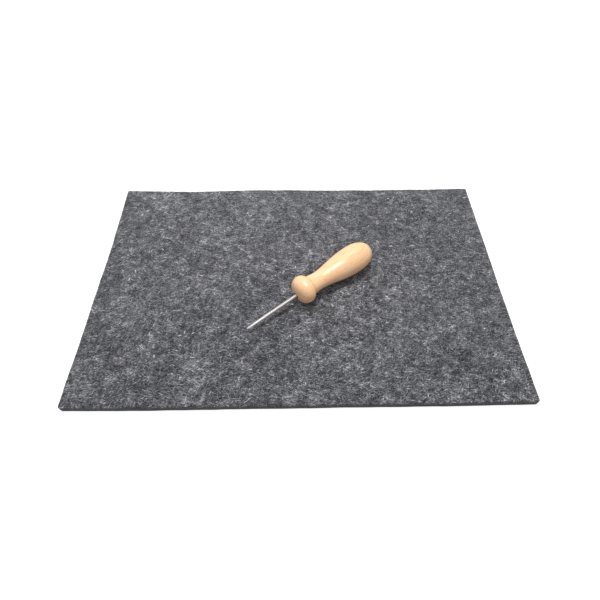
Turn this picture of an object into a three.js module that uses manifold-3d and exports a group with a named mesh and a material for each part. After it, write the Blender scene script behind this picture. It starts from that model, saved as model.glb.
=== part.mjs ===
// Needle felting mat with its pricking awl.
//
// A thick slab of pressed wool felt lies flat. A short awl lies loose on it: a steel spike driven into a
// handle turned from one piece of hardwood. Millimetres, +Z up. The origin is under the middle of the mat,
// +X runs along its long edge and +Y towards its back edge.

import * as THREE from 'three';
import { mergeVertices } from 'three/addons/utils/BufferGeometryUtils.js';
import Module from 'manifold-3d';

// Felt mat.
const MAT_WIDTH = 300;
const MAT_DEPTH = 200;
const MAT_THICKNESS = 5;
const MAT_CORNER_RADIUS = 1;
const MAT_EDGE_ROUNDING = 0.8;

// Awl handle, from the ball at its front to the rounded end of the bulb.
const BALL_RADIUS = 10.4;
const BALL_FRONT_LENGTH = 7.55;
const BALL_FRONT_FULLNESS = 2.4; // 2 is a half ellipse, and more is blunter
const BALL_BACK_LENGTH = 6.7; // to where the ball would close, if the neck didn't cut it off
const CREASE_SHARE = 0.71; // where the neck cuts it off, as a share of that length
const GROOVE_WIDTH = 0.5; // the line cut where the ball meets the neck
const GROOVE_DEPTH = 0.25;
const COVE_LENGTH = 8.5;
const NECK_RADIUS = 6.55;
const BULB_RISE_LENGTH = 31.9;
const BULB_RISE_POWER = 0.76; // below 1 the neck swells sooner
const BULB_RADIUS = 10.5;
const BULB_END_LENGTH = 17;
const BULB_END_FULLNESS = 2.3;

// Awl spike. It is set a little low and crooked in the handle, and its point hangs towards the felt.
const SPIKE_RADIUS = 1.25;
const SPIKE_SHOWN_LENGTH = 42.2;
const SPIKE_TAPER_LENGTH = 15;
const SPIKE_TAPER_POWER = 0.36; // below 1 the point is fuller than a cone
const SPIKE_DROP = 1.6; // how far below the ball's middle it comes out
const SPIKE_DROOP_DEGREES = 5.4;
const SPIKE_SWING_DEGREES = 0.7;
const TANG_DEPTH = 20;
const TANG_POINT_LENGTH = 2;

// Where the awl lies on the mat, measured to the middle of the ball.
const AWL_X = 4.4;
const AWL_Y = -18.25;
const AWL_YAW_DEGREES = 37;

// Clearances, and the wider mouth of the bore that the spike comes out of.
const SEAT_CLEARANCE = 0.3;
const BORE_CLEARANCE = 0.3;
const MOUTH_ROOM = 0.6; // beyond the bore's radius
const MOUTH_DEPTH = 3;

// How finely the round shapes are drawn.
const HANDLE_SIDES = 48;
const SPIKE_SIDES = 20;
const CORNER_STEPS = 6;
const EDGE_STEPS = 2;
const BALL_FRONT_STEPS = 11;
const BALL_BACK_STEPS = 6;
const COVE_STEPS = 5;
const RISE_STEPS = 12;
const BULB_END_STEPS = 11;
const TAPER_STEPS = 6;

// Finishes.
const FELT_COLOUR = 0x6a6a6e;
const FELT_ROUGHNESS = 1;
const WOOD_COLOUR = 0xf4ca9e;
const WOOD_ROUGHNESS = 0.3;
const STEEL_COLOUR = 0xc4c5c8;
const STEEL_ROUGHNESS = 0.25;

const wasm = await Module();
wasm.setup();

// Turns a closed three.js geometry into a solid that can be cut.
function solidFrom(geometry) {
  const bare = geometry.clone();
  bare.deleteAttribute('normal');
  bare.deleteAttribute('uv');
  const merged = mergeVertices(bare);
  const vertProperties = new Float32Array(merged.attributes.position.array);
  const triVerts = new Uint32Array(merged.index.array);
  return new wasm.Manifold(new wasm.Mesh({ numProp: 3, vertProperties, triVerts }));
}

// Turns a solid back into a three.js geometry.
function geometryFrom(solid) {
  const mesh = solid.getMesh();
  const geometry = new THREE.BufferGeometry();
  geometry.setAttribute('position', new THREE.BufferAttribute(mesh.vertProperties, mesh.numProp));
  geometry.setIndex(new THREE.BufferAttribute(mesh.triVerts, 1));
  geometry.computeVertexNormals();
  return geometry;
}

// Spins a profile of (radius, station) points around the X axis, with the stations along it.
function turned(profile, sides) {
  return new THREE.LatheGeometry(profile, sides).rotateZ(-Math.PI / 2);
}

// The slab's outline: a rectangle with rounded corners, drawn inside the rounding of its edges.
function matOutline() {
  const halfWidth = MAT_WIDTH / 2 - MAT_EDGE_ROUNDING;
  const halfDepth = MAT_DEPTH / 2 - MAT_EDGE_ROUNDING;
  const radius = MAT_CORNER_RADIUS;
  const outline = new THREE.Shape();
  outline.moveTo(radius - halfWidth, -halfDepth);
  outline.lineTo(halfWidth - radius, -halfDepth);
  outline.absarc(halfWidth - radius, radius - halfDepth, radius, -Math.PI / 2, 0);
  outline.lineTo(halfWidth, halfDepth - radius);
  outline.absarc(halfWidth - radius, halfDepth - radius, radius, 0, Math.PI / 2);
  outline.lineTo(radius - halfWidth, halfDepth);
  outline.absarc(radius - halfWidth, halfDepth - radius, radius, Math.PI / 2, Math.PI);
  outline.lineTo(-halfWidth, radius - halfDepth);
  outline.absarc(radius - halfWidth, radius - halfDepth, radius, Math.PI, Math.PI * 1.5);
  return outline;
}

// Stations along the handle, measured from the middle of the ball.
const creaseAngle = Math.asin(CREASE_SHARE);
const creaseStation = BALL_BACK_LENGTH * CREASE_SHARE;
const creaseRadius = BALL_RADIUS * Math.cos(creaseAngle);
const neckStation = creaseStation + COVE_LENGTH;
const bulbStation = neckStation + BULB_RISE_LENGTH;

// The radius of the hollow cove at a distance behind the crease.
function coveRadius(behind) {
  return NECK_RADIUS + (creaseRadius - NECK_RADIUS) * (1 - behind / COVE_LENGTH) ** 2;
}

// The handle's outline, from the front of the ball to the rounded end.
function handleProfile() {
  const points = [new THREE.Vector2(0, -BALL_FRONT_LENGTH)];
  for (let step = 1; step <= BALL_FRONT_STEPS; step += 1) {
    const share = Math.cos((Math.PI / 2) * (step / BALL_FRONT_STEPS));
    const radius = BALL_RADIUS * (1 - share ** BALL_FRONT_FULLNESS) ** (1 / BALL_FRONT_FULLNESS);
    points.push(new THREE.Vector2(radius, -BALL_FRONT_LENGTH * share));
  }
  for (let step = 1; step <= BALL_BACK_STEPS; step += 1) {
    const angle = (creaseAngle * step) / BALL_BACK_STEPS;
    points.push(new THREE.Vector2(BALL_RADIUS * Math.cos(angle), BALL_BACK_LENGTH * Math.sin(angle)));
  }
  const grooveMiddle = GROOVE_WIDTH / 2;
  points.push(new THREE.Vector2(coveRadius(grooveMiddle) - GROOVE_DEPTH, creaseStation + grooveMiddle));
  points.push(new THREE.Vector2(coveRadius(GROOVE_WIDTH), creaseStation + GROOVE_WIDTH));
  for (let step = 1; step <= COVE_STEPS; step += 1) {
    const behind = (COVE_LENGTH * step) / COVE_STEPS;
    points.push(new THREE.Vector2(coveRadius(behind), creaseStation + behind));
  }
  for (let step = 1; step <= RISE_STEPS; step += 1) {
    const share = step / RISE_STEPS;
    const swell = (1 - Math.cos(Math.PI * share ** BULB_RISE_POWER)) / 2;
    const radius = NECK_RADIUS + (BULB_RADIUS - NECK_RADIUS) * swell;
    points.push(new THREE.Vector2(radius, neckStation + BULB_RISE_LENGTH * share));
  }
  for (let step = 1; step < BULB_END_STEPS; step += 1) {
    const share = Math.sin((Math.PI / 2) * (step / BULB_END_STEPS));
    const radius = BULB_RADIUS * (1 - share ** BULB_END_FULLNESS) ** (1 / BULB_END_FULLNESS);
    points.push(new THREE.Vector2(radius, bulbStation + BULB_END_LENGTH * share));
  }
  points.push(new THREE.Vector2(0, bulbStation + BULB_END_LENGTH));
  return points;
}

// The spike's outline, with its stations measured from the front of the ball.
function spikeProfile() {
  const points = [];
  for (let step = 0; step <= TAPER_STEPS; step += 1) {
    const share = (step / TAPER_STEPS) ** 2;
    const radius = SPIKE_RADIUS * share ** SPIKE_TAPER_POWER;
    points.push(new THREE.Vector2(radius, SPIKE_TAPER_LENGTH * share - SPIKE_SHOWN_LENGTH));
  }
  points.push(new THREE.Vector2(SPIKE_RADIUS, TANG_DEPTH - TANG_POINT_LENGTH));
  points.push(new THREE.Vector2(0, TANG_DEPTH));
  return points;
}

// The space drilled in the handle for the tang: its clearance all round, and a wider mouth.
function boreProfile() {
  const boreRadius = SPIKE_RADIUS + BORE_CLEARANCE;
  return [
    new THREE.Vector2(0, -BALL_FRONT_LENGTH),
    new THREE.Vector2(boreRadius + MOUTH_ROOM, -BALL_FRONT_LENGTH),
    new THREE.Vector2(boreRadius + MOUTH_ROOM, MOUTH_DEPTH),
    new THREE.Vector2(boreRadius, MOUTH_DEPTH),
    new THREE.Vector2(boreRadius, TANG_DEPTH - TANG_POINT_LENGTH),
    new THREE.Vector2(0, TANG_DEPTH + BORE_CLEARANCE),
  ];
}

function buildMat() {
  const geometry = new THREE.ExtrudeGeometry(matOutline(), {
    depth: MAT_THICKNESS - 2 * MAT_EDGE_ROUNDING,
    bevelThickness: MAT_EDGE_ROUNDING,
    bevelSize: MAT_EDGE_ROUNDING,
    bevelSegments: EDGE_STEPS,
    curveSegments: CORNER_STEPS,
  });
  const material = new THREE.MeshStandardMaterial({
    color: FELT_COLOUR,
    roughness: FELT_ROUGHNESS,
    metalness: 0,
  });
  const mat = new THREE.Mesh(geometry, material);
  mat.name = 'felt_mat';
  mat.position.z = MAT_EDGE_ROUNDING;
  return mat;
}

// The awl lies along its own X axis, from the ball to the bulb, with the middle of the ball at its origin.
function buildAwl() {
  const spikeMaterial = new THREE.MeshStandardMaterial({
    color: STEEL_COLOUR,
    roughness: STEEL_ROUGHNESS,
    metalness: 1,
  });
  const spike = new THREE.Mesh(turned(spikeProfile(), SPIKE_SIDES), spikeMaterial);
  spike.name = 'awl_spike';
  const droop = THREE.MathUtils.degToRad(SPIKE_DROOP_DEGREES);
  const swing = THREE.MathUtils.degToRad(SPIKE_SWING_DEGREES);
  spike.position.set(-BALL_FRONT_LENGTH, 0, -SPIKE_DROP);
  spike.rotation.set(0, -droop, -swing, 'ZYX');
  spike.updateMatrix();

  const bore = turned(boreProfile(), SPIKE_SIDES).applyMatrix4(spike.matrix);
  const blank = turned(handleProfile(), HANDLE_SIDES);
  const handleMaterial = new THREE.MeshStandardMaterial({
    color: WOOD_COLOUR,
    roughness: WOOD_ROUGHNESS,
    metalness: 0,
  });
  const drilled = solidFrom(blank).subtract(solidFrom(bore));
  const handle = new THREE.Mesh(geometryFrom(drilled), handleMaterial);
  handle.name = 'awl_handle';

  // The ball and the bulb both rest on the felt, so the axis leans by the difference of their radii.
  const lean = Math.atan2(BULB_RADIUS - BALL_RADIUS, bulbStation);
  const yaw = THREE.MathUtils.degToRad(AWL_YAW_DEGREES);
  const awl = new THREE.Group();
  awl.position.set(AWL_X, AWL_Y, MAT_THICKNESS + SEAT_CLEARANCE + BALL_RADIUS);
  awl.rotation.set(0, -lean, yaw, 'ZYX');
  awl.add(handle, spike);
  return awl;
}

const feltingMat = new THREE.Group();
feltingMat.add(buildMat(), buildAwl());

export default feltingMat;
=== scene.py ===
"""Looks of a felting mat and its awl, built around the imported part.

The mat is a slab of heather-grey pressed wool felt with loose fibres lying on it. The awl has a
lacquered turned handle and a ground steel spike. Sizes are in millimetres until they reach Blender,
which works in metres.
"""

from __future__ import annotations

import logging
import math
from collections.abc import Sequence
from dataclasses import dataclass, field
from enum import Enum

import bpy
import numpy as np
from mathutils import Euler, Matrix, Vector, noise


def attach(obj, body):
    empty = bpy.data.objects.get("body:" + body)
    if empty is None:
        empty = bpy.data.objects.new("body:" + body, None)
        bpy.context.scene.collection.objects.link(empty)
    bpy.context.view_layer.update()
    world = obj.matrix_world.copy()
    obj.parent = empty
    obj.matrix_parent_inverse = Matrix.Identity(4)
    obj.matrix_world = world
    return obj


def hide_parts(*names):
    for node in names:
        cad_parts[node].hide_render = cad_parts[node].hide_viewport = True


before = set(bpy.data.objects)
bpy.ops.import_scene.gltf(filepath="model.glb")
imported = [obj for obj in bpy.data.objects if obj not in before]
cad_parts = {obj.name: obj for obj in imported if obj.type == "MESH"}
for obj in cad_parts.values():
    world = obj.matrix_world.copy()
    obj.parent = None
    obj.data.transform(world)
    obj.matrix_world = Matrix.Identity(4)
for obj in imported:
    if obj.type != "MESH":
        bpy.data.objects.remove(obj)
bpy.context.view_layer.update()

LOG = logging.getLogger("felting_mat")
MM = 0.001
FULL_TURN = 2.0 * math.pi
SMOOTH_ANGLE = math.radians(35)
# Corners of a turned piece that are nearer than this, in metres, are one.
WELD_REACH = 0.001 * MM
STRAND_SIDES = 3
# Each pattern is cut from its own slice of the noise, so that no two match.
SWELL_SLICE, RIPPLE_SLICE, NAP_SLICE = 3.0, 5.5, 7.0


def linear(colour: str) -> tuple[float, float, float, float]:
    """Turns an sRGB hex colour into the linear colour that a shader takes.

    Args:
        colour: The colour, as #rrggbb.

    Returns:
        Red, green, blue and a full alpha.
    """
    # The numbers below are the sRGB standard's own.
    parts = [int(colour[at : at + 2], 16) / 255.0 for at in (1, 3, 5)]
    red, green, blue = (p / 12.92 if p <= 0.04045 else ((p + 0.055) / 1.055) ** 2.4 for p in parts)
    return red, green, blue, 1.0


def add_node(
    tree: bpy.types.NodeTree,
    kind: str,
    settings: dict[str, object] | None = None,
    inputs: dict[str | int, object] | None = None,
    stops: Sequence[tuple[float, str]] = (),
) -> bpy.types.Node:
    """Adds one shader node with its settings, values and links.

    Args:
        tree: The node tree of a material or of the world.
        kind: The node's type, without its ShaderNode prefix.
        settings: The node's own properties.
        inputs: Socket names or numbers, each with its value or the socket that it is linked from.
        stops: A colour ramp's places and hex colours.

    Returns:
        The new node.
    """
    node = tree.nodes.new("ShaderNode" + kind)
    for name, value in (settings or {}).items():
        setattr(node, name, value)
    for name, value in (inputs or {}).items():
        if isinstance(value, bpy.types.NodeSocket):
            tree.links.new(value, node.inputs[name])
        else:
            node.inputs[name].default_value = value
    for number, (place, colour) in enumerate(stops):
        elements = node.color_ramp.elements
        element = elements[number] if number < 2 else elements.new(place)
        element.position = place
        element.color = linear(colour)
    return node


def new_material(name: str) -> tuple[bpy.types.Material, bpy.types.NodeTree]:
    """Makes an empty material.

    Args:
        name: The material's name.

    Returns:
        The material and its node tree.
    """
    material = bpy.data.materials.new(name)
    material.use_nodes = True
    material.node_tree.nodes.clear()
    return material, material.node_tree


def add_math(
    tree: bpy.types.NodeTree, operation: str, *values: bpy.types.NodeSocket | float
) -> bpy.types.NodeSocket:
    """Adds a node that works out a number.

    Args:
        tree: The node tree that it goes into.
        operation: What is done with the values.
        values: Numbers, or sockets that they come from.

    Returns:
        The result's socket.
    """
    return add_node(tree, "Math", {"operation": operation}, dict(enumerate(values))).outputs[0]


def add_noise(
    tree: bpy.types.NodeTree, place: bpy.types.NodeSocket, size: float, detail: float
) -> bpy.types.NodeSocket:
    """Adds a noise pattern.

    Args:
        tree: The material's node tree.
        place: The places that it is drawn at.
        size: Size of its spots, in the unit of those places.
        detail: How many finer steps it has.

    Returns:
        The socket of the noise's value.
    """
    inputs = {"Vector": place, "Scale": 1 / size, "Detail": detail}
    return add_node(tree, "TexNoise", inputs=inputs).outputs["Fac"]


def add_range(
    tree: bpy.types.NodeTree,
    value: bpy.types.NodeSocket,
    before: Sequence[float] = (0.0, 1.0),
    after: Sequence[float] = (0.0, 1.0),
) -> bpy.types.NodeSocket:
    """Moves a value from one range to another, and holds it at both ends.

    Args:
        tree: The node tree that it goes into.
        value: The value's socket.
        before: The range that it comes from.
        after: The range that it goes to.

    Returns:
        The moved value's socket.
    """
    ends = {"From Min": before[0], "From Max": before[1], "To Min": after[0], "To Max": after[1]}
    return add_node(tree, "MapRange", inputs={"Value": value, **ends}).outputs[0]


def add_surface(tree: bpy.types.NodeTree, inputs: dict[str | int, object]) -> None:
    """Adds a material's shader and its output.

    Args:
        tree: The material's node tree.
        inputs: The shader's sockets, each with its value or the socket that it is linked from.
    """
    shader = add_node(tree, "BsdfPrincipled", inputs=inputs)
    add_node(tree, "OutputMaterial", inputs={"Surface": shader.outputs[0]})


def select_only(piece: bpy.types.Object) -> None:
    """Selects a piece, and nothing else, and makes it the active one.

    Args:
        piece: The piece.
    """
    bpy.ops.object.select_all(action="DESELECT")
    piece.select_set(True)
    bpy.context.view_layer.objects.active = piece


def apply_place(piece: bpy.types.Object, place: Matrix) -> None:
    """Moves a piece to its place and writes that place into its mesh.

    Args:
        piece: The piece, modelled at the origin.
        place: Where it goes, in metres.
    """
    select_only(piece)
    piece.matrix_world = place
    bpy.ops.object.transform_apply(location=True, rotation=True, scale=True)


@dataclass(frozen=True)
class WoolLay:
    """Wisps of wool that lie one way in the felt.

    Attributes:
        turn: Which way they lie, in degrees from the mat's long side.
        length: Length of a wisp, in millimetres.
        width: Width of a wisp, in millimetres.
    """

    turn: float
    length: float
    width: float


@dataclass(frozen=True)
class WoolSpots:
    """Darker and paler spots in the felt, from uneven carding and from the nap.

    Attributes:
        size: Size of a spot, in millimetres.
        detail: How many finer steps its edge has.
        weight: How much it changes the tone.
    """

    size: float
    detail: float
    weight: float


@dataclass(frozen=True)
class PressedWoolFelt:
    """Pressed heather-grey wool felt: matt, with pale wisps matted over darker wool.

    It has a soft sheen at a low angle. A wisp stands for a bundle of fibres, because single fibres
    are too thin to show at the photograph's distance. Sizes are in millimetres.

    Attributes:
        lays: The wisps, by the way that they lie. The palest one at a place shows.
        lay_shift: How far each lay's noise is moved from the last one's, in metres.
        stops: Tones, from dark to pale, and their colours.
        middle: What is taken off the tone, to bring its mean to the middle of the stops.
        warp_cell: Size of the swirls that bend the wisps.
        warp_reach: How far a swirl bends them.
        relief: Height of the nap between its darkest and its palest place.
        painted_cut_shade: How much darker the cut edge is painted than the face, in tone: painted
            shade on the side walls, which the light from above hardly reaches.
        cut_low: The height up to which the painted shade is darkest.
        cut_high: The height from which the face has its own tone.
    """

    lays: tuple[WoolLay, ...] = (
        WoolLay(turn=3.0, length=4.8, width=0.52),
        WoolLay(turn=18.0, length=4.4, width=0.48),
        WoolLay(turn=-15.0, length=4.6, width=0.50),
        WoolLay(turn=38.0, length=4.0, width=0.48),
        WoolLay(turn=-34.0, length=4.2, width=0.48),
        WoolLay(turn=75.0, length=3.8, width=0.50),
    )
    lay_shift: tuple[float, float] = (0.7, 0.3)
    lay_weight: float = 3.0
    stops: tuple[tuple[float, str], ...] = (
        (0.00, "#1b1b1e"),
        (1.00, "#eeeef3"),
        (0.25, "#3e3f43"),
        (0.50, "#69696e"),
        (0.75, "#a3a4a9"),
    )
    spots: tuple[WoolSpots, ...] = (
        WoolSpots(size=26.0, detail=2.0, weight=0.30),
        WoolSpots(size=7.0, detail=2.0, weight=0.60),
        WoolSpots(size=2.6, detail=1.0, weight=0.28),
        WoolSpots(size=0.7, detail=2.0, weight=0.52),
    )
    middle: float = 2.37
    warp_cell: float = 4.0
    warp_reach: float = 1.6
    relief: float = 0.35
    sheen: float = 0.4
    painted_cut_shade: float = 0.23
    cut_low: float = 3.8
    cut_high: float = 4.6

    def build(self) -> bpy.types.Material:
        """Makes the felt's material.

        Returns:
            The material.
        """
        material, tree = new_material("pressed_wool_felt")
        place = add_node(tree, "TexCoord").outputs["Object"]
        swirl = add_node(
            tree,
            "TexNoise",
            inputs={"Vector": place, "Scale": 1 / (self.warp_cell * MM), "Detail": 2.0},
        )
        bent = add_node(
            tree,
            "VectorMath",
            {"operation": "MULTIPLY_ADD"},
            {0: swirl.outputs["Color"], 1: (self.warp_reach * MM,) * 3, 2: place},
        ).outputs[0]

        upper: bpy.types.NodeSocket | float = 0.0
        for number, lay in enumerate(self.lays):
            combed = add_node(
                tree,
                "Mapping",
                {"vector_type": "TEXTURE"},
                {
                    "Vector": bent,
                    "Location": (number * self.lay_shift[0], number * self.lay_shift[1], 0.0),
                    "Rotation": (0.0, 0.0, math.radians(lay.turn)),
                    "Scale": (lay.length * MM, lay.width * MM, lay.width * MM),
                },
            ).outputs[0]
            upper = add_math(tree, "MAXIMUM", add_noise(tree, combed, 1.0, 1.0), upper)
        tone = add_math(tree, "MULTIPLY_ADD", upper, self.lay_weight, -self.middle)
        for spots in self.spots:
            patches = add_noise(tree, bent, spots.size * MM, spots.detail)
            tone = add_math(tree, "MULTIPLY_ADD", patches, spots.weight, tone)

        # Painted shade: the cut edges are darker from the foot up to just under the face, for the
        # shade of the walls.
        up = add_node(tree, "SeparateXYZ", inputs={0: place}).outputs["Z"]
        rise = (self.cut_low * MM, self.cut_high * MM)
        cut = add_range(tree, up, rise, (-self.painted_cut_shade, 0.0))
        tone = add_math(tree, "ADD", tone, cut)
        colour = add_node(tree, "ValToRGB", inputs={"Fac": tone}, stops=self.stops)
        raised = add_node(
            tree,
            "Bump",
            inputs={"Height": tone, "Strength": 0.6, "Distance": self.relief * MM},
        )
        add_surface(
            tree,
            {
                "Base Color": colour.outputs["Color"],
                "Normal": raised.outputs["Normal"],
                "Roughness": 1.0,
                "Specular IOR Level": 0.15,
                "Sheen Weight": self.sheen,
                "Sheen Roughness": 0.5,
            },
        )
        return material


class WoolTint(Enum):
    """The tints of single wool fibres in the heather, and of the neps, pale knots of fibre."""

    PALE = "#a9a9ad"
    MID = "#77777b"
    DARK = "#38383b"
    NEP = "#e4e4e6"


@dataclass(frozen=True)
class WoolFibre:
    """A loose wool fibre: matt, with a little sheen, and a tint that varies from fibre to fibre.

    Attributes:
        patch_size: The distance over which the tint varies, in millimetres.
        dimmest: The darkest fibre's share of the tint.
        brightest: The palest fibre's share of the tint.
    """

    tint: WoolTint
    patch_size: float = 9.0
    dimmest: float = 0.4
    brightest: float = 1.6

    def build(self) -> bpy.types.Material:
        """Makes the fibre's material.

        Returns:
            The material.
        """
        material, tree = new_material("wool_fibre_" + self.tint.name.lower())
        place = add_node(tree, "TexCoord").outputs["Object"]
        patches = add_noise(tree, place, self.patch_size * MM, 1.0)
        change = add_range(tree, patches, after=(self.dimmest, self.brightest))
        colour = add_node(
            tree, "HueSaturation", inputs={"Color": linear(self.tint.value), "Value": change}
        )
        add_surface(
            tree,
            {
                "Base Color": colour.outputs[0],
                "Roughness": 0.9,
                "Specular IOR Level": 0.2,
                "Sheen Weight": 0.2,
            },
        )
        return material


@dataclass(frozen=True)
class LacqueredBeech:
    """Pale turned beech under clear lacquer: warm, with faint grain and a bright, soft-edged gloss.

    The grain and the short brown rays that mark beech are drawn wider than real ones, so that they
    show at the photograph's distance. The groove behind the ball is painted browner, as painted
    shade in the crease. Sizes are in millimetres. A weight is how much a pattern changes the tone.

    Attributes:
        place: Where the handle lies, in metres.
        groove_station: Where the groove is, along the handle.
        ring_stretch: How fast the rings wander along the handle, where 1 is as fast as across it.
        pith: How far the tree's middle is from the handle's axis, sideways and down.
        ray_start: The noise's value where a ray starts to show.
        ray_full: The noise's value where a ray is at its brownest.
        tone_shift: The tone before any pattern is added.
    """

    place: Matrix
    groove_station: float
    pale: str = "#ffd7ab"
    warm: str = "#ffca9a"
    brown: str = "#e1976a"
    ring_gap: float = 2.4
    ring_stretch: float = 0.12
    ring_weight: float = 0.12
    pith: tuple[float, float] = (14.0, 21.0)
    grain_length: float = 12.0
    grain_width: float = 0.7
    grain_weight: float = 0.7
    ray_length: float = 3.2
    ray_width: float = 0.6
    ray_start: float = 0.56
    ray_full: float = 0.72
    ray_weight: float = 0.35
    blush_size: float = 16.0
    blush_weight: float = 0.5
    groove_shade_reach: float = 0.4
    groove_shade_weight: float = 0.22
    tone_shift: float = -0.28
    glow_depth: float = 2.0
    wood_roughness: float = 0.45
    coat_weight: float = 0.8
    coat_roughness: float = 0.23

    def stretch(
        self, tree: bpy.types.NodeTree, along: bpy.types.NodeSocket, length: float, width: float
    ) -> bpy.types.NodeSocket:
        """Adds a noise that is drawn out along the handle.

        Args:
            tree: The material's node tree.
            along: Places in the handle's own frame.
            length: Length of a streak, in millimetres.
            width: Width of a streak, in millimetres.

        Returns:
            The noise's value.
        """
        scale = (1 / (length * MM), 1 / (width * MM), 1 / (width * MM))
        drawn = add_node(tree, "Mapping", inputs={"Vector": along, "Scale": scale}).outputs[0]
        return add_noise(tree, drawn, 1.0, 2.0)

    def build(self) -> bpy.types.Material:
        """Makes the wood's material.

        Returns:
            The material.
        """
        material, tree = new_material("lacquered_beech")
        place = add_node(tree, "TexCoord").outputs["Object"]
        along = add_node(
            tree,
            "Mapping",
            {"vector_type": "TEXTURE"},
            {
                "Vector": place,
                "Location": self.place.to_translation(),
                "Rotation": self.place.to_euler(),
            },
        ).outputs[0]
        off_pith = add_node(
            tree,
            "Mapping",
            inputs={
                "Vector": along,
                "Location": (0.0, self.pith[0] * MM, self.pith[1] * MM),
                "Scale": (self.ring_stretch, 1.0, 1.0),
            },
        ).outputs[0]
        # At scale 1, Blender's wave texture repeats every pi / 10 units.
        rings = add_node(
            tree,
            "TexWave",
            {"wave_type": "RINGS", "rings_direction": "X"},
            {
                "Vector": off_pith,
                "Scale": math.pi / 10 / (self.ring_gap * MM),
                "Distortion": 3.0,
                "Detail": 2.0,
                "Detail Scale": 0.6,
            },
        ).outputs["Fac"]
        grain = self.stretch(tree, along, self.grain_length, self.grain_width)
        flecks = self.stretch(tree, along, self.ray_length, self.ray_width)
        rays = add_range(tree, flecks, (self.ray_start, self.ray_full))
        blush = add_noise(tree, along, self.blush_size * MM, 1.0)
        station = add_node(tree, "SeparateXYZ", inputs={0: along}).outputs["X"]
        # Painted shade: the wood is browner in a band round the groove behind the ball, for the
        # crease's shadow.
        groove = add_math(
            tree, "COMPARE", station, self.groove_station * MM, self.groove_shade_reach * MM
        )
        tone: bpy.types.NodeSocket | float = self.tone_shift
        for pattern, weight in (
            (rings, self.ring_weight),
            (grain, self.grain_weight),
            (rays, self.ray_weight),
            (blush, self.blush_weight),
            (groove, self.groove_shade_weight),
        ):
            tone = add_math(tree, "MULTIPLY_ADD", pattern, weight, tone)
        stops = ((0.15, self.pale), (1.0, self.brown), (0.55, self.warm))
        colour = add_node(tree, "ValToRGB", inputs={"Fac": tone}, stops=stops)
        raised = add_node(
            tree, "Bump", inputs={"Height": grain, "Strength": 0.05, "Distance": 0.1 * MM}
        )
        add_surface(
            tree,
            {
                "Base Color": colour.outputs["Color"],
                "Normal": raised.outputs["Normal"],
                "Roughness": self.wood_roughness,
                "Specular IOR Level": 0.15,
                "Subsurface Weight": 0.15,
                "Subsurface Radius": (1.0, 0.45, 0.2),
                "Subsurface Scale": self.glow_depth * MM,
                "Coat Weight": self.coat_weight,
                "Coat Roughness": self.coat_roughness,
            },
        )
        return material


@dataclass(frozen=True)
class DrilledBeechShade:
    """Bare drilled beech: rough, and dark brown, so that the hole reads dark.

    The dark brown is painted shade in the bore, over wood browned by the drill.
    """

    pale: str = "#4a2f22"
    dark: str = "#25160f"
    streak: float = 0.6

    def build(self) -> bpy.types.Material:
        """Makes the bore's material.

        Returns:
            The material.
        """
        material, tree = new_material("drilled_beech_painted_shade")
        place = add_node(tree, "TexCoord").outputs["Object"]
        # Painted shade: the bore's wall runs from near-black to dark brown, for the shadow inside
        # the hole.
        bore_shade = add_noise(tree, place, self.streak * MM, 2.0)
        stops = ((0.3, self.dark), (0.7, self.pale))
        colour = add_node(tree, "ValToRGB", inputs={"Fac": bore_shade}, stops=stops)
        add_surface(tree, {"Base Color": colour.outputs["Color"], "Roughness": 0.9})
        return material


@dataclass(frozen=True)
class GroundSteel:
    """Bright ground tool steel: silvery, with grinding lines that soften its reflections.

    The lines run along the spike, drawn wider than real ones, so that they show. The freshly ground
    point is brighter than the shank. Sizes are in millimetres.

    Attributes:
        place: Where the spike lies, in metres.
        tip_station: Where its tip is, along the spike.
    """

    place: Matrix
    tip_station: float
    point: str = "#d9d5d3"
    shank: str = "#b0acaa"
    point_length: float = 20.0
    line_length: float = 12.0
    line_width: float = 0.25
    smoothest: float = 0.48
    roughest: float = 0.62

    def build(self) -> bpy.types.Material:
        """Makes the steel's material.

        Returns:
            The material.
        """
        material, tree = new_material("ground_steel")
        place = add_node(tree, "TexCoord").outputs["Object"]
        along = add_node(
            tree,
            "Mapping",
            {"vector_type": "TEXTURE"},
            {
                "Vector": place,
                "Location": self.place.to_translation(),
                "Rotation": self.place.to_euler(),
                "Scale": (self.line_length * MM, self.line_width * MM, self.line_width * MM),
            },
        ).outputs[0]
        lines = add_noise(tree, along, 1.0, 2.0)
        rough = add_range(tree, lines, after=(self.smoothest, self.roughest))
        station = add_node(tree, "SeparateXYZ", inputs={0: along}).outputs["X"]
        point = (self.tip_station, self.tip_station + self.point_length)
        worn = add_range(tree, station, [end / self.line_length for end in point])
        stops = ((0.0, self.point), (1.0, self.shank))
        colour = add_node(tree, "ValToRGB", inputs={"Fac": worn}, stops=stops)
        raised = add_node(
            tree, "Bump", inputs={"Height": lines, "Strength": 0.15, "Distance": 0.05 * MM}
        )
        add_surface(
            tree,
            {
                "Base Color": colour.outputs["Color"],
                "Metallic": 1.0,
                "Roughness": rough,
                "Normal": raised.outputs["Normal"],
            },
        )
        return material


@dataclass(frozen=True)
class FibreLayer:
    """Loose fibres of one tint on the felt, drawn thicker than real ones, so that they show.

    Attributes:
        tint: The fibres' tint.
        count: How many there are.
        shortest: The shortest fibre, in millimetres.
        longest: The longest fibre, in millimetres.
        radius: A fibre's radius at its middle, in millimetres.
        curl: How much a fibre turns from end to end, in radians.
        lift: How far a fibre's middle stands off the felt at most, in millimetres.
        seed: Where its random numbers start.
    """

    tint: WoolTint
    count: int
    shortest: float
    longest: float
    radius: float
    curl: float
    lift: float
    seed: int


class Side(Enum):
    """The mat's four cut edges."""

    BACK = "back"
    FRONT = "front"
    LEFT = "left"
    RIGHT = "right"


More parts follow.
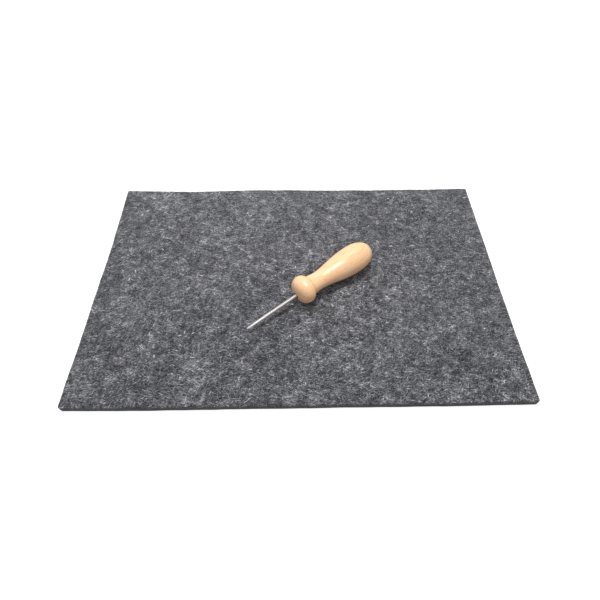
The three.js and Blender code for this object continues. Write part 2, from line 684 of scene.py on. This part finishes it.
@dataclass
class FeltMat:
    """The pressed felt slab and the loose fibres on it, in millimetres.

    Attributes:
        smooth_angle: The angle, in degrees, up to which faces are shaded as one.
        strays: How far each cut edge strays outwards, from left to right or from front to back.
        stray_depth: How far inwards the felt strays with its edge.
        wave_share: A fibre's double bend, as a share of its curl.
        perch_share: Height of a fibre's axis over the felt, as a share of its radius.
        end_share: A fibre's thickness at its ends, as a share of that at its middle.
    """

    width: float = 300.0
    depth: float = 200.0
    thickness: float = 5.0
    corner_radius: float = 1.3
    edge_radius: float = 0.6
    cell: float = 1.25
    edge_steps: int = 4
    wall_rows: int = 3
    smooth_angle: float = 60.0
    strays: dict[Side, tuple[float, ...]] = field(
        default_factory=lambda: {
            Side.BACK: (1.2, 0.3, -0.7, 0.1, 0.8, 0.3, -0.6, -0.9, -0.4, -0.3, 0.2),
            Side.FRONT: (0.5, 0.9, 0.9, 0.8, 0.7, 0.7, 0.5, 0.5, 0.5, 0.3, 0.0),
            Side.LEFT: (0.3, 0.1, -0.4, -0.6, -0.7, -0.9, -1.3, -1.3, -0.9, -0.6, -0.2),
            Side.RIGHT: (0.5, 0.3, 0.0, -0.2, -0.2, -0.1, 0.0, 0.0, 0.1, 0.2, 0.4),
        }
    )
    stray_depth: float = 14.0
    ripple: float = 0.18
    ripple_cell: float = 11.0
    ripple_seed: int = 7
    swell: float = 0.35
    swell_cell: float = 32.0
    nap: float = 0.22
    nap_cell: float = 2.6
    layers: tuple[FibreLayer, ...] = (
        FibreLayer(
            WoolTint.PALE, count=2000, shortest=3.0, longest=9.0,
            radius=0.09, curl=1.6, lift=0.35, seed=11,
        ),
        FibreLayer(
            WoolTint.MID, count=3000, shortest=2.5, longest=8.0,
            radius=0.08, curl=1.8, lift=0.35, seed=23,
        ),
        FibreLayer(
            WoolTint.DARK, count=2000, shortest=2.5, longest=7.0,
            radius=0.09, curl=1.8, lift=0.25, seed=37,
        ),
        FibreLayer(
            WoolTint.NEP, count=36, shortest=1.6, longest=3.6,
            radius=0.5, curl=1.2, lift=0.1, seed=53,
        ),
    )
    rings: int = 5
    edge_margin: float = 0.6
    wave_share: float = 0.6
    perch_share: float = 0.5
    end_share: float = 0.35

    @property
    def ring_shares(self) -> np.ndarray:
        """Where a fibre's rings are, as shares of its length from its middle."""
        return np.linspace(-0.5, 0.5, self.rings)

    def height(self, x: float, y: float) -> float:
        """Gives how far the felt's upper face stands off its even level at a place.

        Args:
            x: Place along the mat's width, in millimetres.
            y: Place along the mat's depth, in millimetres.

        Returns:
            The height in millimetres, up or down.
        """
        swell = noise.noise((x / self.swell_cell, y / self.swell_cell, SWELL_SLICE)) * self.swell
        return swell + noise.noise((x / self.nap_cell, y / self.nap_cell, NAP_SLICE)) * self.nap

    def drift(self, x: float, y: float) -> tuple[float, float]:
        """Gives how far the hand-cut outline strays from the even one at a place.

        Args:
            x: Place along the mat's width, in millimetres.
            y: Place along the mat's depth, in millimetres.

        Returns:
            The move along the width and the depth, in millimetres.
        """
        spot = (x / self.ripple_cell, y / self.ripple_cell, RIPPLE_SLICE)
        quick = noise.noise_vector(spot) * self.ripple
        move_x, move_y = quick.x, quick.y
        for side, strays in self.strays.items():
            lengthwise = side in (Side.BACK, Side.FRONT)
            along, across = (x / self.width, y) if lengthwise else (y / self.depth, x)
            sign = 1.0 if side in (Side.BACK, Side.RIGHT) else -1.0
            inside = (self.depth if lengthwise else self.width) / 2 - sign * across
            if inside > self.stray_depth:
                continue
            stray = float(np.interp(along + 0.5, np.linspace(0.0, 1.0, len(strays)), strays))
            stray *= sign * (1.0 - max(0.0, inside) / self.stray_depth)
            move_x, move_y = (move_x, move_y + stray) if lengthwise else (move_x + stray, move_y)
        return move_x, move_y

    def build_slab(self) -> bpy.types.Object:
        """Models the felt slab: a fine grid, a rounded rim pulled down round it, a flat underside.

        Returns:
            The slab.
        """
        inner = (self.width - 2 * self.edge_radius, self.depth - 2 * self.edge_radius)
        bpy.ops.mesh.primitive_grid_add(
            x_subdivisions=round(inner[0] / self.cell),
            y_subdivisions=round(inner[1] / self.cell),
            size=1.0,
            location=(0.0, 0.0, self.thickness * MM),
        )
        slab = bpy.context.object
        slab.name = "felt_slab"
        bpy.ops.transform.resize(value=(inner[0] * MM, inner[1] * MM, 1.0))
        bpy.ops.object.transform_apply(location=True, rotation=True, scale=True)

        bpy.ops.object.mode_set(mode="EDIT")
        bpy.ops.mesh.select_all(action="SELECT")
        bpy.ops.mesh.region_to_loop()
        turns = [step / self.edge_steps * math.pi / 2 for step in range(1, self.edge_steps + 1)]
        radius = self.edge_radius
        rim = [(radius * math.sin(turn), radius * (1 - math.cos(turn))) for turn in turns]
        wall = (self.thickness - radius) / self.wall_rows
        rim += [(radius, radius + wall * row) for row in range(1, self.wall_rows + 1)]
        out, down = 0.0, 0.0
        for next_out, next_down in rim:
            bpy.ops.mesh.extrude_edges_move(
                TRANSFORM_OT_translate={"value": (0.0, 0.0, (down - next_down) * MM)}
            )
            grow = [(side / 2 + next_out) / (side / 2 + out) for side in inner]
            bpy.ops.transform.resize(value=(grow[0], grow[1], 1.0), center_override=(0.0, 0.0, 0.0))
            out, down = next_out, next_down
        bpy.ops.mesh.edge_face_add()
        bpy.ops.mesh.select_all(action="SELECT")
        bpy.ops.mesh.normals_make_consistent(inside=False)
        bpy.ops.object.mode_set(mode="OBJECT")
        self.work_slab(slab)
        bpy.ops.object.shade_smooth_by_angle(angle=math.radians(self.smooth_angle))
        return slab

    def work_slab(self, slab: bpy.types.Object) -> None:
        """Gives the slab its rounded corners, its wandering cut edges and its uneven, napped face.

        Args:
            slab: The even slab.
        """
        half = (self.width / 2, self.depth / 2)
        radius = self.corner_radius
        for vertex in slab.data.vertices:
            x, y, z = (c / MM for c in vertex.co)
            over = [(abs(c) - (h - radius)) / radius for c, h in zip((x, y), half)]
            if min(over) > 0:
                # The corner's square is drawn in to a quarter of a disc.
                u, v = over
                pulled = (u * math.sqrt(1 - v * v / 2), v * math.sqrt(1 - u * u / 2))
                x, y = (
                    math.copysign(h - radius + p * radius, c)
                    for c, h, p in zip((x, y), half, pulled)
                )
            move_x, move_y = self.drift(x, y)
            raised = self.height(x, y) * max(0.0, z / self.thickness)
            vertex.co = ((x + move_x) * MM, (y + move_y) * MM, (z + raised) * MM)

    def lay_strands(
        self, layer: FibreLayer
    ) -> tuple[np.ndarray, np.ndarray, np.ndarray, np.ndarray]:
        """Draws where one layer's fibres lie.

        Args:
            layer: The fibres' number and sizes.

        Returns:
            The places of each fibre's rings along the width and the depth, their headings in
            radians, and each fibre's lift.
        """
        rng = np.random.default_rng(layer.seed)
        length = rng.uniform(layer.shortest, layer.longest, layer.count)
        heading = rng.uniform(0.0, FULL_TURN, layer.count)
        curl = rng.normal(0.0, layer.curl, layer.count)
        wave = rng.normal(0.0, self.wave_share * layer.curl, layer.count)
        lift = rng.uniform(0.0, layer.lift, layer.count)
        middle_x = rng.uniform(-self.width / 2, self.width / 2, layer.count)
        middle_y = rng.uniform(-self.depth / 2, self.depth / 2, layer.count)

        share = self.ring_shares
        turn = heading[:, None] + curl[:, None] * share + wave[:, None] * np.sin(FULL_TURN * share)
        step = length[:, None] / (self.rings - 1)
        x = np.cumsum(np.cos(turn) * step, axis=1)
        y = np.cumsum(np.sin(turn) * step, axis=1)
        x += (middle_x - x.mean(axis=1))[:, None]
        y += (middle_y - y.mean(axis=1))[:, None]
        inside_x = np.abs(x).max(axis=1) < self.width / 2 - self.edge_margin
        inside_y = np.abs(y).max(axis=1) < self.depth / 2 - self.edge_margin
        keep = inside_x & inside_y
        return x[keep], y[keep], turn[keep], lift[keep]

    def build_fibres(self, layer: FibreLayer) -> bpy.types.Object:
        """Lays one layer of loose fibres on the felt, each a bent three-sided strand.

        The mesh is written directly, because operators can't model thousands of strands one by one.

        Args:
            layer: The fibres' tint, number and sizes.

        Returns:
            The fibres, as one mesh.
        """
        x, y, turn, lift = self.lay_strands(layer)
        vertices: list[tuple[float, float, float]] = []
        faces: list[tuple[int, ...]] = []
        sides = STRAND_SIDES
        around = [math.pi / 2 + FULL_TURN * corner / sides for corner in range(sides)]
        for strand in range(len(x)):
            first = len(vertices)
            for ring, share in enumerate(self.ring_shares):
                px, py, angle = x[strand, ring], y[strand, ring], turn[strand, ring]
                arch = math.cos(math.pi * share)
                move_x, move_y = self.drift(px, py)
                felt_top = self.thickness + self.height(px, py)
                pz = felt_top + layer.radius * self.perch_share + lift[strand] * arch
                thick = layer.radius * (self.end_share + (1 - self.end_share) * arch)
                for corner in around:
                    side = thick * math.cos(corner)
                    vertices.append(
                        (
                            (px + move_x - math.sin(angle) * side) * MM,
                            (py + move_y + math.cos(angle) * side) * MM,
                            (pz + thick * math.sin(corner)) * MM,
                        )
                    )
            for ring in range(self.rings - 1):
                low = first + sides * ring
                high = low + sides
                for corner in range(sides):
                    after = (corner + 1) % sides
                    faces.append((low + corner, low + after, high + after, high + corner))
            faces.append(tuple(reversed(range(first, first + sides))))
            faces.append(tuple(range(len(vertices) - sides, len(vertices))))
        mesh = bpy.data.meshes.new("felt_fibres_" + layer.tint.name.lower())
        mesh.from_pydata(vertices, [], faces)
        mesh.validate()
        fibres = bpy.data.objects.new(mesh.name, mesh)
        bpy.context.collection.objects.link(fibres)
        return fibres

    def build(self) -> None:
        """Models and dresses the slab and its fibres, and hands them to the mat's body."""
        # Without a seed, noise_vector starts from the clock.
        noise.seed_set(self.ripple_seed)
        slab = self.build_slab()
        slab.data.materials.append(PressedWoolFelt().build())
        fibres = []
        for layer in self.layers:
            strands = self.build_fibres(layer)
            strands.data.materials.append(WoolFibre(layer.tint).build())
            fibres.append(strands)
        for piece in (slab, *fibres):
            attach(piece, "mat")
            LOG.info("%s: %d faces", piece.name, len(piece.data.polygons))
        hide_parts("felt_mat")


@dataclass
class Awl:
    """The turned handle and its spike, in millimetres.

    Stations run along the handle from the middle of the ball. A fullness of 2 draws an even round,
    and more draws a fuller one.

    Attributes:
        ball_front: How far the ball reaches in front of its middle.
        ball_back: How far it would reach behind it, if no crease ended it.
        crease_share: Where the crease ends it, as a share of that.
        rise_power: Under 1, the bulb swells early.
        taper_power: Under 1, the point is blunt at its tip.
        spike_drop: How far under the handle's axis the spike comes out.
        droop: How far the spike droops towards its tip, in degrees.
    """

    ball_radius: float = 10.4
    ball_front: float = 7.55
    front_fullness: float = 2.4
    ball_back: float = 6.7
    crease_share: float = 0.71
    groove_width: float = 0.5
    groove_depth: float = 0.25
    cove_length: float = 8.5
    neck_radius: float = 6.55
    rise_length: float = 31.9
    rise_power: float = 0.76
    bulb_radius: float = 10.5
    end_length: float = 17.0
    end_fullness: float = 2.3
    spike_radius: float = 1.25
    spike_shown: float = 42.2
    taper_length: float = 15.0
    taper_power: float = 0.36
    tang_depth: float = 20.0
    tang_point: float = 2.0
    spike_drop: float = 1.6
    droop: float = 5.4
    swing: float = 0.7
    bore_clearance: float = 0.3
    mouth_room: float = 0.6
    mouth_depth: float = 3.0
    place: tuple[float, float] = (4.4, -18.25)
    yaw: float = 37.0
    felt_top: float = 5.0
    seat_clearance: float = 0.3
    handle_sides: int = 96
    spike_sides: int = 32
    front_steps: int = 28
    back_steps: int = 14
    cove_steps: int = 14
    rise_steps: int = 30
    end_steps: int = 26
    taper_steps: int = 14
    handle_place: Matrix = field(init=False)
    spike_place: Matrix = field(init=False)

    def __post_init__(self) -> None:
        """Works out where the handle and the spike lie."""
        lean = math.atan2(self.bulb_radius - self.ball_radius, self.bulb_station)
        turn = Euler((0.0, -lean, math.radians(self.yaw)))
        seat = Vector((*self.place, self.felt_top + self.seat_clearance + self.ball_radius)) * MM
        self.handle_place = Matrix.Translation(seat) @ turn.to_matrix().to_4x4()
        crooked = Euler((0.0, -math.radians(self.droop), -math.radians(self.swing)))
        mouth = Matrix.Translation(Vector((-self.ball_front, 0.0, -self.spike_drop)) * MM)
        self.spike_place = self.handle_place @ mouth @ crooked.to_matrix().to_4x4()

    @property
    def neck_station(self) -> float:
        """The station of the handle's waist."""
        return self.ball_back * self.crease_share + self.cove_length

    @property
    def bulb_station(self) -> float:
        """The station of the bulb's thickest place."""
        return self.neck_station + self.rise_length

    def handle_profile(self) -> list[tuple[float, float]]:
        """Draws half the handle's outline.

        Returns:
            Stations and radii, from the front of the ball to the rounded end.
        """
        crease = self.ball_back * self.crease_share
        crease_angle = math.asin(self.crease_share)
        crease_radius = self.ball_radius * math.cos(crease_angle)
        points = [(-self.ball_front, 0.0)]
        for angle in np.linspace(0.0, math.pi / 2, self.front_steps)[1:]:
            share = math.cos(angle)
            girth = (1 - share**self.front_fullness) ** (1 / self.front_fullness)
            points.append((-self.ball_front * share, self.ball_radius * girth))
        for angle in np.linspace(0.0, crease_angle, self.back_steps)[1:]:
            points.append((self.ball_back * math.sin(angle), self.ball_radius * math.cos(angle)))
        cove = np.linspace(self.groove_width, self.cove_length, self.cove_steps)
        for behind in (self.groove_width / 2, *cove):
            above_neck = (crease_radius - self.neck_radius) * (1 - behind / self.cove_length) ** 2
            sunk = self.groove_depth if behind < self.groove_width else 0.0
            points.append((crease + behind, self.neck_radius + above_neck - sunk))
        for share in np.linspace(0.0, 1.0, self.rise_steps)[1:]:
            swell = (1 - math.cos(math.pi * share**self.rise_power)) / 2
            radius = self.neck_radius + (self.bulb_radius - self.neck_radius) * swell
            points.append((self.neck_station + self.rise_length * share, radius))
        for angle in np.linspace(0.0, math.pi / 2, self.end_steps)[1:-1]:
            share = math.sin(angle)
            girth = (1 - share**self.end_fullness) ** (1 / self.end_fullness)
            points.append((self.bulb_station + self.end_length * share, self.bulb_radius * girth))
        points.append((self.bulb_station + self.end_length, 0.0))
        return points

    def spike_profile(self) -> list[tuple[float, float]]:
        """Draws half the spike's outline.

        Returns:
            Stations from the front of the ball, and radii, from the point to the end of the tang.
        """
        points = []
        for step in np.linspace(0.0, 1.0, self.taper_steps):
            share = step**2
            station = self.taper_length * share - self.spike_shown
            points.append((station, self.spike_radius * share**self.taper_power))
        points.append((0.0, self.spike_radius))
        points.append((self.tang_depth - self.tang_point, self.spike_radius))
        points.append((self.tang_depth, 0.0))
        return points

    def bore_profile(self) -> list[tuple[float, float]]:
        """Draws half the outline of the bore and its wider mouth.

        Returns:
            Stations from the front of the ball, and radii.
        """
        bore = self.spike_radius + self.bore_clearance
        wide = bore + self.mouth_room
        tang_end = self.tang_depth + self.bore_clearance
        return [
            (-self.ball_front / 2, 0.0),
            (-self.ball_front / 2, wide),
            (self.mouth_depth, wide),
            (self.mouth_depth, bore),
            (self.tang_depth - self.tang_point, bore),
            (tang_end, 0.0),
        ]

    def turn_on_lathe(
        self, name: str, profile: Sequence[tuple[float, float]], sides: int
    ) -> bpy.types.Object:
        """Turns a piece: a point is drawn out along the outline, which is spun round the X axis.

        Args:
            name: The piece's name.
            profile: Stations and radii, which start and end on the axis.
            sides: How many steps the spin takes.

        Returns:
            The turned piece, along the X axis.
        """
        bpy.ops.mesh.primitive_plane_add(size=MM, location=(0.0, 0.0, 0.0))
        piece = bpy.context.object
        piece.name = name
        bpy.ops.object.mode_set(mode="EDIT")
        bpy.ops.mesh.select_all(action="SELECT")
        bpy.ops.mesh.merge(type="CENTER")
        bpy.ops.transform.translate(value=(profile[0][0] * MM, 0.0, profile[0][1] * MM))
        for (from_station, from_radius), (station, radius) in zip(profile, profile[1:]):
            move = ((station - from_station) * MM, 0.0, (radius - from_radius) * MM)
            bpy.ops.mesh.extrude_region_move(TRANSFORM_OT_translate={"value": move})
        bpy.ops.mesh.select_all(action="SELECT")
        bpy.ops.mesh.spin(
            steps=sides, angle=FULL_TURN, center=(0.0, 0.0, 0.0), axis=(1.0, 0.0, 0.0)
        )
        bpy.ops.mesh.select_all(action="SELECT")
        bpy.ops.mesh.remove_doubles(threshold=WELD_REACH)
        bpy.ops.mesh.normals_make_consistent(inside=False)
        bpy.ops.object.mode_set(mode="OBJECT")
        return piece

    def build_handle(self) -> bpy.types.Object:
        """Models the handle, with the bore for the spike drilled in it.

        Returns:
            The handle.
        """
        handle = self.turn_on_lathe("turned_handle", self.handle_profile(), self.handle_sides)
        groove = self.ball_back * self.crease_share + self.groove_width / 2
        handle.data.materials.append(LacqueredBeech(self.handle_place, groove).build())
        apply_place(handle, self.handle_place)
        drill = self.turn_on_lathe("drill", self.bore_profile(), self.spike_sides)
        # The bore's wall is dressed in painted shade.
        drill.data.materials.append(DrilledBeechShade().build())
        apply_place(drill, self.spike_place)
        select_only(handle)
        bpy.ops.object.modifier_add(type="BOOLEAN")
        cut = handle.modifiers[-1]
        cut.operation = "DIFFERENCE"
        cut.object = drill
        cut.material_mode = "TRANSFER"
        bpy.ops.object.modifier_apply(modifier=cut.name)
        bpy.data.objects.remove(drill, do_unlink=True)
        bpy.ops.object.shade_smooth_by_angle(angle=SMOOTH_ANGLE)
        return handle

    def build_spike(self) -> bpy.types.Object:
        """Models the spike and its tang.

        Returns:
            The spike.
        """
        spike = self.turn_on_lathe("awl_point", self.spike_profile(), self.spike_sides)
        apply_place(spike, self.spike_place)
        bpy.ops.object.shade_smooth_by_angle(angle=SMOOTH_ANGLE)
        return spike

    def build(self) -> None:
        """Models and dresses the handle and the spike, and hands them to the awl's body."""
        handle = self.build_handle()
        spike = self.build_spike()
        spike.data.materials.append(GroundSteel(self.spike_place, -self.spike_shown).build())
        for piece, node, finish in (
            (handle, "awl_handle", "lacquered_hardwood"),
            (spike, "awl_spike", "ground_steel"),
        ):
            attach(piece, "awl")
            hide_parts(node)
            LOG.info("%s: %d faces", piece.name, len(piece.data.polygons))


@dataclass(frozen=True)
class SoftLamp:
    """A soft flat lamp that faces the middle of the mat.

    Attributes:
        name: The lamp's name.
        place: Where it hangs, in millimetres.
        size: Its two sides, in millimetres.
        level: How brightly it lights what faces it, where 1 shows a colour as it is written.
        spin: How far it is turned on its own axis, in degrees.
        glossy: Whether gloss shows it.
        diffuse: Whether it lights matt surfaces.
    """

    name: str
    place: tuple[float, float, float]
    size: tuple[float, float]
    level: float
    spin: float = 0.0
    glossy: bool = True
    diffuse: bool = True

    def hang(self) -> None:
        """Hangs the lamp, hidden from the camera."""
        reach = Vector(self.place) * MM
        spin = Euler((0.0, 0.0, math.radians(self.spin)))
        turn = reach.to_track_quat("Z", "Y") @ spin.to_quaternion()
        bpy.ops.object.light_add(type="AREA", location=reach, rotation=turn.to_euler())
        lamp = bpy.context.object
        lamp.name = self.name
        lamp.data.shape = "RECTANGLE"
        lamp.data.size, lamp.data.size_y = (side * MM for side in self.size)
        # Pi comes twice: for the lamp's own spread, and for that of the matt surface it lights.
        lamp.data.energy = self.level * (math.pi * reach.length) ** 2
        lamp.visible_camera = False
        lamp.visible_glossy = self.glossy
        lamp.visible_diffuse = self.diffuse


@dataclass
class Studio:
    """The pale floor, the soft light and the camera, in millimetres and degrees.

    Attributes:
        floor_drop: The gap under the mat, which keeps the two faces apart.
        floor_lift: How much light the floor adds where it is seen, so that it shows white.
        fill_level: How brightly the surround lights the object from all sides.
        gloss_level: How bright the surround is in gloss.
    """

    floor_size: float = 6000.0
    floor_drop: float = 0.05
    floor_colour: str = "#aaaaaa"
    floor_lift: float = 0.86
    lamps: tuple[SoftLamp, ...] = (
        SoftLamp(
            "overhead_softbox", place=(20.0, 78.0, 568.0), size=(90.0, 90.0),
            level=0.73, glossy=False,
        ),
        SoftLamp(
            "gloss_card", place=(68.0, -17.0, 570.0), size=(150.0, 330.0),
            level=0.72, spin=-39.0, diffuse=False,
        ),
        SoftLamp(
            "back_left_card", place=(-330.0, 400.0, 500.0), size=(260.0, 260.0),
            level=0.20, glossy=False,
        ),
    )
    fill_level: float = 0.47
    gloss_level: float = 0.7
    camera_place: tuple[float, float, float] = (-1.01, -205.63, 263.81)
    camera_turn: tuple[float, float, float] = (35.63, 0.04, -0.74)
    lens: float = 26.24
    sensor: float = 36.0
    clip_near: float = 10.0

    def seen_directly(self, tree: bpy.types.NodeTree) -> bpy.types.NodeSocket:
        """Adds a value: 1 on camera rays, less on gloss, and 0 on rays that light the object.

        Args:
            tree: The node tree that it goes into.

        Returns:
            The value's socket.
        """
        path = add_node(tree, "LightPath").outputs
        bright = add_math(tree, "MAXIMUM", path["Is Glossy Ray"], path["Is Transmission Ray"])
        gloss = add_math(tree, "MULTIPLY", bright, self.gloss_level)
        return add_math(tree, "MAXIMUM", path["Is Camera Ray"], gloss)

    def build_floor(self) -> None:
        """Lays the pale floor, which shows white and keeps the object's shadow."""
        under = (0.0, 0.0, -self.floor_drop * MM)
        bpy.ops.mesh.primitive_plane_add(size=self.floor_size * MM, location=under)
        floor = bpy.context.object
        floor.name = "floor"
        material, tree = new_material("matt_white_paper")
        matt = add_node(tree, "BsdfDiffuse", inputs={"Color": linear(self.floor_colour)})
        lift = add_math(tree, "MULTIPLY", self.seen_directly(tree), self.floor_lift)
        glow = add_node(tree, "Emission", inputs={"Strength": lift})
        both = add_node(tree, "AddShader", inputs={0: matt.outputs[0], 1: glow.outputs[0]})
        add_node(tree, "OutputMaterial", inputs={"Surface": both.outputs[0]})
        floor.data.materials.append(material)

    def build_light(self) -> None:
        """Hangs the lamps and sets the even fill round the object."""
        for lamp in self.lamps:
            lamp.hang()
        world = bpy.data.worlds.new("white_surround")
        bpy.context.scene.world = world
        world.use_nodes = True
        tree = world.node_tree
        tree.nodes.clear()
        strength = add_range(tree, self.seen_directly(tree), after=(self.fill_level, 1.0))
        white = (1.0, 1.0, 1.0, 1.0)
        even = add_node(tree, "Background", inputs={"Color": white, "Strength": strength})
        add_node(tree, "OutputWorld", inputs={"Surface": even.outputs[0]})

    def build_camera(self) -> None:
        """Sets the camera where the photograph was taken from."""
        bpy.ops.object.camera_add(
            location=[c * MM for c in self.camera_place],
            rotation=[math.radians(a) for a in self.camera_turn],
        )
        camera = bpy.context.object
        camera.data.sensor_width = self.sensor
        camera.data.lens = self.lens
        camera.data.clip_start = self.clip_near * MM
        bpy.context.scene.camera = camera

    def build(self) -> None:
        """Sets up the floor, the light, the camera and the view transform."""
        self.build_floor()
        self.build_light()
        self.build_camera()
        bpy.context.scene.view_settings.view_transform = "Standard"


def main() -> None:
    """Builds the mat, the awl and the studio, in that order."""
    logging.basicConfig(level=logging.INFO)
    FeltMat().build()
    Awl().build()
    Studio().build()


if __name__ == "__main__":
    main()
